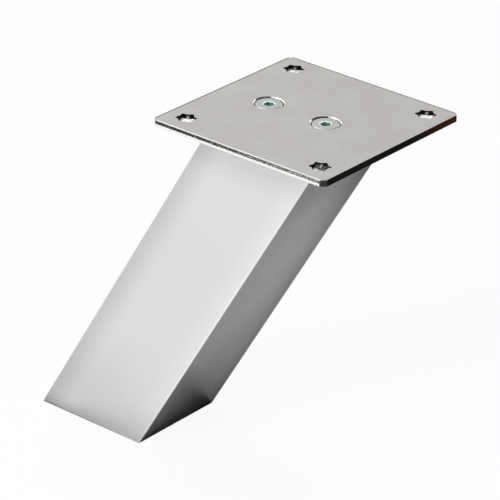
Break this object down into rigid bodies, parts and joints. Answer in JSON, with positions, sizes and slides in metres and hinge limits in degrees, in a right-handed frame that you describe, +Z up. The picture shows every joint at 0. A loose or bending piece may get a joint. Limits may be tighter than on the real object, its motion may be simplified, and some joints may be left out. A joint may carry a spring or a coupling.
{
  "type": "angled countertop support leg",
  "caption": "Square aluminium tube that leans under a flat steel mounting plate with star-shaped screw holes, made to carry a raised countertop above a worktop.",
  "frame": {"origin": "middle of the mounting plate's upper face, which seats against the underside of the countertop", "axes": "+Z up, out of the plate's upper face; the leg leans towards -X on its way down; Y is across the lean"},
  "size_m": [0.1703, 0.09, 0.17],
  "materials": {
    "plated_steel": "satin bright plating",
    "satin_aluminium": "fine brushed satin",
    "insert_aluminium": "sawn, as milled",
    "zinc_plated_screw": "blue passivated zinc"
  },
  "bodies": {
    "root": {"mounting_plate": "plated_steel", "leg_tube": "satin_aluminium", "top_insert": "insert_aluminium", "foot_insert": "insert_aluminium", "plate_screw_1": "zinc_plated_screw", "plate_screw_2": "zinc_plated_screw"}
  },
  "joints": []
}
